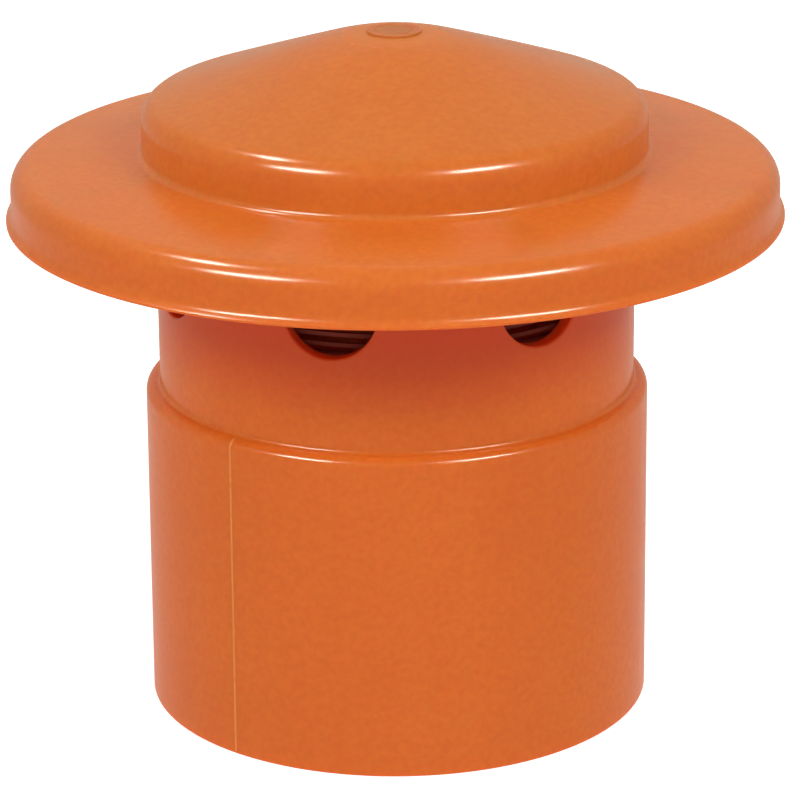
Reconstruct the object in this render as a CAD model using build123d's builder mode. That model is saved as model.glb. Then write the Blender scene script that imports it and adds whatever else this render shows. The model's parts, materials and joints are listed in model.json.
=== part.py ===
"""Automatic air vent (air admittance valve) for the top of a 110 mm drain or ventilating pipe.

The socket is cemented onto the pipe. Seven holes in the neck let outside air into a ring-shaped chamber,
behind an insect screen. A rubber diaphragm under a light valve disc lies on the two lips that close the top of
that chamber. Suction in the pipe lifts the disc and lets air in, and its own weight closes it again. A push-on
cap with a wide brim covers the valve and keeps rain off the holes.

Frame: millimetres, +Z up along the pipe's axis, origin at the centre of the socket's mouth, front towards -Y.
"""

import os
from math import cos, hypot, radians, sin

from build123d import *

os.makedirs("parts", exist_ok=True)

# ---- Driving dimensions ----
PIPE_R = 55.0  # outside of a 110 mm pipe, and of the neck
PIPE_WALL = 3.2
NECK_BORE_R = PIPE_R - PIPE_WALL
PUSH_GAP = 0.3  # radial gap between parts pushed together by hand
RUNNING_GAP = 0.05  # radial gap between the stem and its bush
PRESS_GAP = 0.02  # radial gap left between pressed parts
SEAL_GAP = 0.1  # between the closed diaphragm and the lips
LIFT = 8.0  # travel of the valve disc

# ---- Socket body ----
SOCKET_R = 58.4  # at the rim
SOCKET_TOP_R = 58.2  # at the shoulder, less by the mould's draft
SOCKET_BORE_R = 55.2
SOCKET_DEPTH = 70.0
SOCKET_LEAD_IN = 1.0
SHOULDER_Z = 76.0
SHOULDER_FILLET = 2.2
CREASE_FILLET = 0.9  # between the shoulder and the neck
NECK_TOP_Z = 134.0
NECK_CHAMFER = 0.9
FLOOR_LOW_Z = 92.6  # floor of the air chamber
FLOOR_TOP_Z = 96.0
COLLAR_BORE_R = 35.7  # collar on the floor, round the riser
COLLAR_R = 38.7
COLLAR_LOW_Z = 87.0
COLLAR_TOP_Z = 99.0
PARTING_DEG = -39.8  # the mould's parting line, from the front towards +X
PARTING_WIDE = 0.4
PARTING_HIGH = 0.22

# ---- Air inlets ----
INLET_COUNT = 7
INLET_PITCH_DEG = 360 / INLET_COUNT
INLET_FIRST_DEG = -15.6
INLET_R = 10.7
INLET_Z = 108.2
INLET_EDGE = 0.5

# ---- Seals ----
CAP_RING_SECTION_R = 0.9
CAP_RING_Z = 128.6
CAP_GROOVE_R = 53.4
CAP_GROOVE_HALF = 1.2
RISER_RING_SECTION_R = 0.74
RISER_RING_Z = 93.0
RISER_GROOVE_R = 34.2
RISER_GROOVE_HALF = 1.0
GASKET_THICK = 1.4

# ---- Seat insert ----
RISER_R = 35.4
RISER_BORE_R = 32.8
RISER_LOW_BORE_R = 31.8  # the step between the two bores carries the spider
RISER_LOW_Z = 88.0
SPIDER_LOW_Z = 98.0
SEAT_LOW_Z = 122.0
SEAT_TOP_Z = 124.0
LIP_TOP_Z = 125.0
INNER_LIP_R = 34.2
OUTER_LIP_R = 45.8
LIP_HALF = 0.6
PORT_R = 44.2  # outside of the ring-shaped port
SKIRT_R = 51.5
SKIRT_BORE_R = 49.5
FLANGE_R = 54.6
FLANGE_LOW_Z = NECK_TOP_Z + GASKET_THICK
FLANGE_TOP_Z = FLANGE_LOW_Z + 2.1
WEB_COUNT = 6
WEB_THICK = 2.0
WEB_LOW_Z = 114.0

# ---- Guide spider and bush ----
SPIDER_RING_THICK = 1.8
SPIDER_HIGH = 8.0
ARM_COUNT = 3
ARM_THICK = 2.2
HUB_R = 9.0
HUB_LOW_Z = 96.5
HUB_TOP_Z = 108.5
BUSH_R = 6.0
BUSH_LOW_Z = 96.0
BUSH_FLANGE_R = 7.6
BUSH_TOP_Z = HUB_TOP_Z + 1.0

# ---- Insect screen ----
SCREEN_R = 51.4
HOOP_THICK = 2.4
HOOP_HIGH = 1.6
SCREEN_LOW_Z = FLOOR_TOP_Z + 0.1
SCREEN_TOP_Z = SEAT_LOW_Z - 0.1
SLAT_COUNT = 9
SLAT_THICK = 1.2
SLAT_HIGH = 0.9
POST_WIDE = 2.6
POST_THICK = 1.8

# ---- Valve disc ----
DIAPHRAGM_R = 47.2
DIAPHRAGM_BORE_R = 27.4
DIAPHRAGM_LOW_Z = LIP_TOP_Z + SEAL_GAP
DIAPHRAGM_THICK = 1.2
PLATE_R = 46.8
PLATE_BORE_R = 27.0
PLATE_LOW_Z = DIAPHRAGM_LOW_Z + DIAPHRAGM_THICK
PLATE_DECK_Z = PLATE_LOW_Z + 1.7
PLATE_RIM_Z = 131.0
PLATE_RIM_THICK = 1.8
RIB_COUNT = 6
RIB_THICK = 1.8
PLATE_HUB_R = 7.0
PLATE_HUB_LOW_Z = 124.5
PLATE_HUB_TOP_Z = 134.0
CLAMP_R = 31.7
CLAMP_THICK = 1.8
CLAMP_LOW_Z = DIAPHRAGM_LOW_Z - CLAMP_THICK
SCREW_COUNT = 6
SCREW_FIRST_DEG = 30
SCREW_CIRCLE_R = 29.5
SCREW_R = 1.1
SCREW_HEAD_R = 1.9
SCREW_HEAD_THICK = 1.4
SCREW_TOP_Z = 131.0
BOSS_R = 2.4
BOSS_TOP_Z = 132.4

# ---- Guide stem and what is on it ----
STEM_R = 3.0
STEM_FLAT = 2.3  # from the axis to the flat that stops the disc turning
STEM_LOW_Z = 83.4
STEM_COLLAR_R = 5.0
STEM_COLLAR_THICK = 1.6
STEM_WASHER_R = 6.0
STEM_WASHER_THICK = 1.2
NUT_ACROSS_FLATS = 10.0
NUT_HIGH = 5.0
NUT_LOW_Z = PLATE_HUB_TOP_Z + STEM_WASHER_THICK
STEM_TOP_Z = NUT_LOW_Z + NUT_HIGH + 1.0
STOP_WASHER_R = 6.5
STOP_WASHER_THICK = 1.2
STOP_WASHER_TOP_Z = BUSH_LOW_Z - LIFT - 0.05
CLIP_R = 5.0
CLIP_BAND = 1.4
CLIP_THICK = 0.8
CLIP_NECK_R = 2.2
CLIP_TOP_Z = STOP_WASHER_TOP_Z - STOP_WASHER_THICK - 0.05

# ---- Cap ----
CAP_WALL = 2.2
CAP_TOP_Z = 158.1
CROWN_R = 62.0  # radius of the dome's round top
CROWN_DEG = 18.0  # and the slope at which it runs out into the flank
BAND_R = 57.8  # upright band under the dome
DOME_EDGE_Z = 142.0  # outside corner of dome and band, before rounding
DOME_INNER_EDGE_Z = 140.6
DOME_EDGE_FILLET = 5.2
BRIM_TOP_Z = 130.6  # where the brim leaves the band
BAND_FOOT_FILLET = 1.6
BRIM_R = 87.8
BRIM_EDGE_Z = 128.0  # outside corner of brim and lip, before rounding
BRIM_FILLET = 5.0
BRIM_UNDER_Z = BRIM_EDGE_Z - CAP_WALL + 0.2
LIP_R = 89.0
LIP_LOW_Z = 115.9
LIP_EDGE = 0.6  # upright edge at the foot of the lip
FLARE_HIGH = 2.3  # of the hollow curve from the lip's wall out to that edge
LIP_FOOT_FILLET = 0.25
CAP_COLLAR_LOW_Z = 122.0
CAP_BORE_R = PIPE_R + PUSH_GAP
CAP_LEAD_IN = 0.8
BRIM_RIB_COUNT = 8
BRIM_RIB_THICK = 1.6
HOLD_RIB_COUNT = 6
HOLD_RIB_THICK = 1.8
HOLD_RIB_INNER_R = 50.5
HOLD_RIB_LOW_Z = FLANGE_TOP_Z + 0.2
PAD_R = 6.2  # round pad at the top, where the plastic was injected
PAD_HIGH = 0.15
PAD_RING_R = 4.6
PAD_RING_WIDE = 0.7
PAD_RING_DEEP = 0.2


def meridian(angle_deg):
    """The half plane through the axis at an angle from the front towards +X: sketches are (radius, height)."""
    across, along = sin(radians(angle_deg)), -cos(radians(angle_deg))
    return Plane(origin=(0, 0, 0), x_dir=(across, along, 0), z_dir=(along, -across, 0))


def outward(angle_deg, radius, height):
    """The plane at that angle, radius and height that faces straight out."""
    across, along = sin(radians(angle_deg)), -cos(radians(angle_deg))
    return Plane(
        origin=(radius * across, radius * along, height),
        x_dir=(-along, across, 0),
        z_dir=(across, along, 0),
    )


def corners(sketch, *points):
    """The vertices of a profile nearest to the given (radius, height) points."""
    return [sketch.vertices().sort_by_distance((radius, height, 0))[0] for radius, height in points]


def rib_angles(count, offset=0.0):
    return [offset + 360 / count * i for i in range(count)]


def save(builder, name):
    """Labels a finished piece and writes it as its own STEP file."""
    builder.part.label = name
    export_step(builder.part, f"parts/{name}.step")


# ---- Socket body: socket, shoulder, neck and chamber floor in one moulding ----
with BuildPart() as socket_body:
    with BuildSketch(Plane.XZ) as socket_profile:
        with BuildLine():
            Polyline(
                (SOCKET_BORE_R + SOCKET_LEAD_IN, 0),
                (SOCKET_R - 0.3, 0),
                (SOCKET_R, 0.3),
                (SOCKET_TOP_R, SHOULDER_Z),
                (PIPE_R, SHOULDER_Z),
                (PIPE_R, CAP_RING_Z - CAP_GROOVE_HALF),
                (CAP_GROOVE_R, CAP_RING_Z - CAP_GROOVE_HALF),
                (CAP_GROOVE_R, CAP_RING_Z + CAP_GROOVE_HALF),
                (PIPE_R, CAP_RING_Z + CAP_GROOVE_HALF),
                (PIPE_R, NECK_TOP_Z - NECK_CHAMFER),
                (PIPE_R - NECK_CHAMFER, NECK_TOP_Z),
                (NECK_BORE_R, NECK_TOP_Z),
                (NECK_BORE_R, FLOOR_TOP_Z),
                (COLLAR_R, FLOOR_TOP_Z),
                (COLLAR_R, COLLAR_TOP_Z),
                (COLLAR_BORE_R, COLLAR_TOP_Z),
                (COLLAR_BORE_R, COLLAR_LOW_Z),
                (COLLAR_R, COLLAR_LOW_Z),
                (COLLAR_R, FLOOR_LOW_Z),
                (NECK_BORE_R, FLOOR_LOW_Z),
                (NECK_BORE_R, SOCKET_DEPTH),
                (SOCKET_BORE_R, SOCKET_DEPTH),
                (SOCKET_BORE_R, SOCKET_LEAD_IN),
                close=True,
            )
        make_face()
        fillet(corners(socket_profile, (SOCKET_TOP_R, SHOULDER_Z)), SHOULDER_FILLET)
        fillet(corners(socket_profile, (PIPE_R, SHOULDER_Z)), CREASE_FILLET)
    revolve(axis=Axis.Z)
    inlet_planes = [
        outward(angle, NECK_BORE_R - 2, INLET_Z) for angle in rib_angles(INLET_COUNT, INLET_FIRST_DEG)
    ]
    with BuildSketch(*inlet_planes):
        Circle(INLET_R)
    extrude(amount=8, mode=Mode.SUBTRACT)
    rims = [
        edge
        for edge in socket_body.edges(Select.LAST)
        if hypot((edge @ 0.3).X, (edge @ 0.3).Y) > PIPE_R - 0.1
    ]
    fillet(rims, INLET_EDGE)
    with BuildSketch(meridian(PARTING_DEG), meridian(PARTING_DEG + 180)) as parting_profile:
        with BuildLine():
            Polyline(
                (SOCKET_R - 0.3, 0.5),
                (SOCKET_R + PARTING_HIGH, 0.5),
                (SOCKET_TOP_R + PARTING_HIGH, SHOULDER_Z + PARTING_HIGH),
                (SOCKET_TOP_R - SHOULDER_FILLET, SHOULDER_Z + PARTING_HIGH),
                (SOCKET_TOP_R - SHOULDER_FILLET, SHOULDER_Z - SHOULDER_FILLET),
                (SOCKET_TOP_R - 0.3, SHOULDER_Z - SHOULDER_FILLET),
                close=True,
            )
        make_face()
        ridge_corner = (SOCKET_TOP_R + PARTING_HIGH, SHOULDER_Z + PARTING_HIGH)
        fillet(corners(parting_profile, ridge_corner), SHOULDER_FILLET + PARTING_HIGH)
    extrude(amount=PARTING_WIDE / 2, both=True)
save(socket_body, "socket_body")

# ---- Seat insert: riser, seat with its two lips, skirt and flange ----
with BuildPart() as seat_insert:
    with BuildSketch(Plane.XZ):
        with BuildLine():
            Polyline(
                (RISER_LOW_BORE_R, RISER_LOW_Z),
                (RISER_R - 0.6, RISER_LOW_Z),
                (RISER_R, RISER_LOW_Z + 0.6),
                (RISER_R, RISER_RING_Z - RISER_GROOVE_HALF),
                (RISER_GROOVE_R, RISER_RING_Z - RISER_GROOVE_HALF),
                (RISER_GROOVE_R, RISER_RING_Z + RISER_GROOVE_HALF),
                (RISER_R, RISER_RING_Z + RISER_GROOVE_HALF),
                (RISER_R, SEAT_TOP_Z),
                (INNER_LIP_R + LIP_HALF, SEAT_TOP_Z),
                (INNER_LIP_R + LIP_HALF, LIP_TOP_Z),
                (INNER_LIP_R - LIP_HALF, LIP_TOP_Z),
                (INNER_LIP_R - LIP_HALF, SEAT_TOP_Z),
                (RISER_BORE_R, SEAT_TOP_Z),
                (RISER_BORE_R, SPIDER_LOW_Z),
                (RISER_LOW_BORE_R, SPIDER_LOW_Z),
                close=True,
            )
        make_face()
        with BuildLine():
            Polyline(
                (PORT_R, SEAT_LOW_Z),
                (SKIRT_R, SEAT_LOW_Z),
                (SKIRT_R, FLANGE_LOW_Z),
                (FLANGE_R, FLANGE_LOW_Z),
                (FLANGE_R, FLANGE_TOP_Z - 0.4),
                (FLANGE_R - 0.4, FLANGE_TOP_Z),
                (SKIRT_BORE_R + 0.8, FLANGE_TOP_Z),
                (SKIRT_BORE_R, FLANGE_TOP_Z - 0.8),
                (SKIRT_BORE_R, SEAT_TOP_Z),
                (OUTER_LIP_R + LIP_HALF, SEAT_TOP_Z),
                (OUTER_LIP_R + LIP_HALF, LIP_TOP_Z),
                (OUTER_LIP_R - LIP_HALF, LIP_TOP_Z),
                (OUTER_LIP_R - LIP_HALF, SEAT_TOP_Z),
                (PORT_R, SEAT_TOP_Z),
                close=True,
            )
        make_face()
    revolve(axis=Axis.Z)
    with BuildSketch(*[meridian(angle) for angle in rib_angles(WEB_COUNT)]):
        with BuildLine():
            Polyline(
                (RISER_R - 0.4, WEB_LOW_Z),
                (RISER_R + 1.0, WEB_LOW_Z),
                (PORT_R + 0.5, SEAT_LOW_Z),
                (PORT_R + 0.5, SEAT_TOP_Z - 0.3),
                (RISER_R - 0.4, SEAT_TOP_Z - 0.3),
                close=True,
            )
        make_face()
    extrude(amount=WEB_THICK / 2, both=True)
save(seat_insert, "seat_insert")

# ---- Seat gasket: flat ring between the neck's rim and the insert's flange ----
with BuildPart() as seat_gasket:
    with BuildSketch(Plane.XY.offset(NECK_TOP_Z)):
        Circle(PIPE_R - NECK_CHAMFER)
        Circle(SKIRT_R + 0.1, mode=Mode.SUBTRACT)
    extrude(amount=GASKET_THICK)
save(seat_gasket, "seat_gasket")

# ---- O-rings: the cap's in the neck's groove, and the riser's in the riser's groove ----
with BuildPart() as cap_o_ring:
    with BuildSketch(Plane.XZ):
        with Locations((CAP_GROOVE_R + CAP_RING_SECTION_R + 0.05, CAP_RING_Z)):
            Circle(CAP_RING_SECTION_R)
    revolve(axis=Axis.Z)
save(cap_o_ring, "cap_o_ring")

with BuildPart() as riser_o_ring:
    with BuildSketch(Plane.XZ):
        with Locations((RISER_GROOVE_R + RISER_RING_SECTION_R + 0.01, RISER_RING_Z)):
            Circle(RISER_RING_SECTION_R)
    revolve(axis=Axis.Z)
save(riser_o_ring, "riser_o_ring")

# ---- Insect screen: two hoops and fine slats on posts that stand between the inlets ----
with BuildPart() as insect_screen:
    slat_gap = (SCREEN_TOP_Z - SCREEN_LOW_Z - 2 * HOOP_HIGH - SLAT_COUNT * SLAT_HIGH) / (SLAT_COUNT + 1)
    hoop_centres = (SCREEN_LOW_Z + HOOP_HIGH / 2, SCREEN_TOP_Z - HOOP_HIGH / 2)
    slat_centres = [
        SCREEN_LOW_Z + HOOP_HIGH + slat_gap + SLAT_HIGH / 2 + (slat_gap + SLAT_HIGH) * i
        for i in range(SLAT_COUNT)
    ]
    with BuildSketch(Plane.XZ):
        with Locations(*[(SCREEN_R - HOOP_THICK / 2, height) for height in hoop_centres]):
            Rectangle(HOOP_THICK, HOOP_HIGH)
        with Locations(*[(SCREEN_R - 0.5 - SLAT_THICK / 2, height) for height in slat_centres]):
            Rectangle(SLAT_THICK, SLAT_HIGH)
    revolve(axis=Axis.Z)
    post_angles = rib_angles(INLET_COUNT, INLET_FIRST_DEG + INLET_PITCH_DEG / 2)
    with BuildSketch(*[outward(angle, SCREEN_R - 2.2, SCREEN_LOW_Z) for angle in post_angles]):
        Rectangle(POST_WIDE, SCREEN_TOP_Z - SCREEN_LOW_Z, align=(Align.CENTER, Align.MIN))
    extrude(amount=POST_THICK)
save(insect_screen, "insect_screen")


def stem_outline(clearance):
    """The stem's round outline with its flat, made larger all round by a clearance."""
    Circle(STEM_R + clearance)
    with Locations((STEM_FLAT + clearance, 0)):
        Rectangle(STEM_R, 3 * STEM_R, align=(Align.MIN, Align.CENTER), mode=Mode.SUBTRACT)


# ---- Guide spider: three arms from a ring that stands on the riser's step ----
with BuildPart() as guide_spider:
    ring_r = RISER_BORE_R - PRESS_GAP
    with BuildSketch(Plane.XZ):
        with Locations((ring_r, SPIDER_LOW_Z)):
            Rectangle(SPIDER_RING_THICK, SPIDER_HIGH, align=(Align.MAX, Align.MIN))
        with Locations((HUB_R, HUB_LOW_Z)):
            Rectangle(HUB_R - BUSH_R - PRESS_GAP, HUB_TOP_Z - HUB_LOW_Z, align=(Align.MAX, Align.MIN))
    revolve(axis=Axis.Z)
    with BuildSketch(*[meridian(angle) for angle in rib_angles(ARM_COUNT, 180)]):
        with BuildLine():
            Polyline(
                (HUB_R - 0.6, SPIDER_LOW_Z),
                (ring_r - SPIDER_RING_THICK + 0.6, SPIDER_LOW_Z),
                (ring_r - SPIDER_RING_THICK + 0.6, SPIDER_LOW_Z + SPIDER_HIGH - 1.5),
                (HUB_R - 0.6, HUB_TOP_Z - 1.0),
                close=True,
            )
        make_face()
    extrude(amount=ARM_THICK / 2, both=True)
save(guide_spider, "guide_spider")

# ---- Guide bush: flanged, pressed into the spider's hub ----
with BuildPart() as guide_bush:
    with BuildSketch(Plane.XZ):
        with BuildLine():
            Polyline(
                (0, BUSH_LOW_Z),
                (BUSH_R - 0.5, BUSH_LOW_Z),
                (BUSH_R, BUSH_LOW_Z + 0.5),
                (BUSH_R, HUB_TOP_Z),
                (BUSH_FLANGE_R, HUB_TOP_Z),
                (BUSH_FLANGE_R, BUSH_TOP_Z - 0.3),
                (BUSH_FLANGE_R - 0.3, BUSH_TOP_Z),
                (0, BUSH_TOP_Z),
                close=True,
            )
        make_face()
    revolve(axis=Axis.Z)
    with BuildSketch(Plane.XY.offset(BUSH_LOW_Z)):
        stem_outline(RUNNING_GAP)
    extrude(amount=BUSH_TOP_Z - BUSH_LOW_Z, mode=Mode.SUBTRACT)
save(guide_bush, "guide_bush")

# ---- Valve plate: ribbed ring with spokes to a hub ----
with BuildPart() as valve_plate:
    with BuildSketch(Plane.XZ):
        with BuildLine():
            Polyline(
                (PLATE_BORE_R, PLATE_LOW_Z),
                (PLATE_R, PLATE_LOW_Z),
                (PLATE_R, PLATE_RIM_Z - 0.4),
                (PLATE_R - 0.4, PLATE_RIM_Z),
                (PLATE_R - PLATE_RIM_THICK, PLATE_RIM_Z),
                (PLATE_R - PLATE_RIM_THICK, PLATE_DECK_Z),
                (PLATE_BORE_R + PLATE_RIM_THICK, PLATE_DECK_Z),
                (PLATE_BORE_R + PLATE_RIM_THICK, PLATE_RIM_Z),
                (PLATE_BORE_R, PLATE_RIM_Z),
                close=True,
            )
        make_face()
        with Locations((0, PLATE_HUB_LOW_Z)):
            Rectangle(PLATE_HUB_R, PLATE_HUB_TOP_Z - PLATE_HUB_LOW_Z, align=Align.MIN)
    revolve(axis=Axis.Z)
    with BuildSketch(*[meridian(angle) for angle in rib_angles(RIB_COUNT, 90)]):
        with BuildLine():
            Polyline(
                (PLATE_HUB_R - 1.0, PLATE_LOW_Z),
                (PLATE_R - PLATE_RIM_THICK + 0.8, PLATE_LOW_Z),
                (PLATE_R - PLATE_RIM_THICK + 0.8, PLATE_RIM_Z - 0.8),
                (PLATE_BORE_R, PLATE_RIM_Z - 0.8),
                (PLATE_HUB_R - 1.0, PLATE_HUB_TOP_Z - 1.0),
                close=True,
            )
        make_face()
    extrude(amount=RIB_THICK / 2, both=True)
    with BuildSketch(Plane.XY.offset(PLATE_DECK_Z)):
        with PolarLocations(SCREW_CIRCLE_R, SCREW_COUNT, start_angle=SCREW_FIRST_DEG):
            Circle(BOSS_R)
    extrude(amount=BOSS_TOP_Z - PLATE_DECK_Z)
    with BuildSketch(Plane.XY.offset(PLATE_LOW_Z)):
        with PolarLocations(SCREW_CIRCLE_R, SCREW_COUNT, start_angle=SCREW_FIRST_DEG):
            Circle(SCREW_R + PRESS_GAP)
    extrude(amount=SCREW_TOP_Z + 0.2 - PLATE_LOW_Z, mode=Mode.SUBTRACT)
    with BuildSketch(Plane.XY.offset(PLATE_HUB_LOW_Z)):
        Circle(STEM_R + PRESS_GAP)
    extrude(amount=PLATE_HUB_TOP_Z - PLATE_HUB_LOW_Z, mode=Mode.SUBTRACT)
save(valve_plate, "valve_plate")


def screw_holes(clearance):
    """Cuts the clamp screws' holes from a flat ring."""
    with PolarLocations(SCREW_CIRCLE_R, SCREW_COUNT, start_angle=SCREW_FIRST_DEG):
        Circle(SCREW_R + clearance, mode=Mode.SUBTRACT)


# ---- Diaphragm: flat rubber ring that closes on both lips ----
with BuildPart() as diaphragm:
    with BuildSketch(Plane.XY.offset(DIAPHRAGM_LOW_Z)):
        Circle(DIAPHRAGM_R)
        Circle(DIAPHRAGM_BORE_R, mode=Mode.SUBTRACT)
        screw_holes(PRESS_GAP)
    extrude(amount=DIAPHRAGM_THICK)
save(diaphragm, "diaphragm")

# ---- Clamp ring: holds the diaphragm's inner edge against the plate ----
with BuildPart() as clamp_ring:
    with BuildSketch(Plane.XY.offset(CLAMP_LOW_Z)):
        Circle(CLAMP_R)
        Circle(PLATE_BORE_R, mode=Mode.SUBTRACT)
        screw_holes(0.1)
    extrude(amount=CLAMP_THICK)
    lower_edges = clamp_ring.edges().group_by(Axis.Z)[0].sort_by(SortBy.LENGTH)
    chamfer(lower_edges[-2:], 0.4)
save(clamp_ring, "clamp_ring")

# ---- Clamp screws: six separate pan-head screws with a cross recess ----
with BuildPart() as clamp_screws:
    with BuildSketch(Plane.XY.offset(CLAMP_LOW_Z - SCREW_HEAD_THICK)):
        with PolarLocations(SCREW_CIRCLE_R, SCREW_COUNT, start_angle=SCREW_FIRST_DEG):
            Circle(SCREW_HEAD_R)
    extrude(amount=SCREW_HEAD_THICK)
    fillet(clamp_screws.edges().group_by(Axis.Z)[0], 0.6)
    with BuildSketch(Plane.XY.offset(CLAMP_LOW_Z)):
        with PolarLocations(SCREW_CIRCLE_R, SCREW_COUNT, start_angle=SCREW_FIRST_DEG):
            Circle(SCREW_R)
    extrude(amount=SCREW_TOP_Z - CLAMP_LOW_Z)
    with BuildSketch(Plane.XY.offset(CLAMP_LOW_Z - SCREW_HEAD_THICK)):
        with PolarLocations(SCREW_CIRCLE_R, SCREW_COUNT, start_angle=SCREW_FIRST_DEG):
            Rectangle(2.1, 0.5)
            Rectangle(0.5, 2.1)
    extrude(amount=0.8, mode=Mode.SUBTRACT)
save(clamp_screws, "clamp_screws")

# ---- Guide stem: flat on one side up to its collar, round above it, with a groove for the clip ----
with BuildPart() as guide_stem:
    with BuildSketch(Plane.XY.offset(STEM_LOW_Z)):
        stem_outline(0)
    extrude(amount=PLATE_HUB_LOW_Z - STEM_LOW_Z)
    chamfer(guide_stem.edges().group_by(Axis.Z)[0], 0.4)
    with BuildSketch(Plane.XY.offset(PLATE_HUB_LOW_Z - STEM_COLLAR_THICK)):
        Circle(STEM_COLLAR_R)
    extrude(amount=STEM_COLLAR_THICK)
    with BuildSketch(Plane.XY.offset(PLATE_HUB_LOW_Z)):
        Circle(STEM_R)
    extrude(amount=STEM_TOP_Z - PLATE_HUB_LOW_Z)
    chamfer(guide_stem.edges().group_by(Axis.Z)[-1], 0.5)
    with BuildSketch(Plane.XY.offset(CLIP_TOP_Z - CLIP_THICK - 0.05)):
        Circle(STEM_R + 1)
        Circle(CLIP_NECK_R, mode=Mode.SUBTRACT)
    extrude(amount=CLIP_THICK + 0.1, mode=Mode.SUBTRACT)
save(guide_stem, "guide_stem")

# ---- Stem washer and nut: hold the plate's hub against the stem's collar ----
with BuildPart() as stem_washer:
    with BuildSketch(Plane.XY.offset(PLATE_HUB_TOP_Z)):
        Circle(STEM_WASHER_R)
        Circle(STEM_R + 0.2, mode=Mode.SUBTRACT)
    extrude(amount=STEM_WASHER_THICK)
save(stem_washer, "stem_washer")

with BuildPart() as stem_nut:
    with BuildSketch(Plane.XY.offset(NUT_LOW_Z)):
        RegularPolygon(NUT_ACROSS_FLATS / 2, 6, major_radius=False)
    extrude(amount=NUT_HIGH)
    with BuildSketch(Plane.XZ):
        with BuildLine():
            Polyline(
                (0, NUT_LOW_Z),
                (NUT_ACROSS_FLATS / 2, NUT_LOW_Z),
                (NUT_ACROSS_FLATS / 2 + 0.9, NUT_LOW_Z + 0.5),
                (NUT_ACROSS_FLATS / 2 + 0.9, NUT_LOW_Z + NUT_HIGH - 0.5),
                (NUT_ACROSS_FLATS / 2, NUT_LOW_Z + NUT_HIGH),
                (0, NUT_LOW_Z + NUT_HIGH),
                close=True,
            )
        make_face()
    revolve(axis=Axis.Z, mode=Mode.INTERSECT)
    with BuildSketch(Plane.XY.offset(NUT_LOW_Z)):
        Circle(STEM_R + PRESS_GAP)
    extrude(amount=NUT_HIGH, mode=Mode.SUBTRACT)
save(stem_nut, "stem_nut")

# ---- Stop washer: rubber, meets the bush at full lift ----
with BuildPart() as stop_washer:
    with BuildSketch(Plane.XY.offset(STOP_WASHER_TOP_Z - STOP_WASHER_THICK)):
        Circle(STOP_WASHER_R)
        Circle(STEM_R + PRESS_GAP, mode=Mode.SUBTRACT)
    extrude(amount=STOP_WASHER_THICK)
save(stop_washer, "stop_washer")

# ---- Stem clip: E-shaped spring clip that carries the stop washer ----
with BuildPart() as stem_clip:
    with BuildSketch(Plane.XY.offset(CLIP_TOP_Z - CLIP_THICK)):
        Circle(CLIP_R)
        Circle(CLIP_R - CLIP_BAND, mode=Mode.SUBTRACT)
        with PolarLocations(CLIP_NECK_R + RUNNING_GAP, 3, start_angle=0, angular_range=270):
            Rectangle(CLIP_R - CLIP_NECK_R - 0.5, 1.8, align=(Align.MIN, Align.CENTER))
        Circle(CLIP_NECK_R + RUNNING_GAP, mode=Mode.SUBTRACT)
        with Locations((0, -CLIP_R)):
            Rectangle(2 * CLIP_NECK_R, 2 * CLIP_BAND + 2, mode=Mode.SUBTRACT)
    extrude(amount=CLIP_THICK)
save(stem_clip, "stem_clip")

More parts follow.
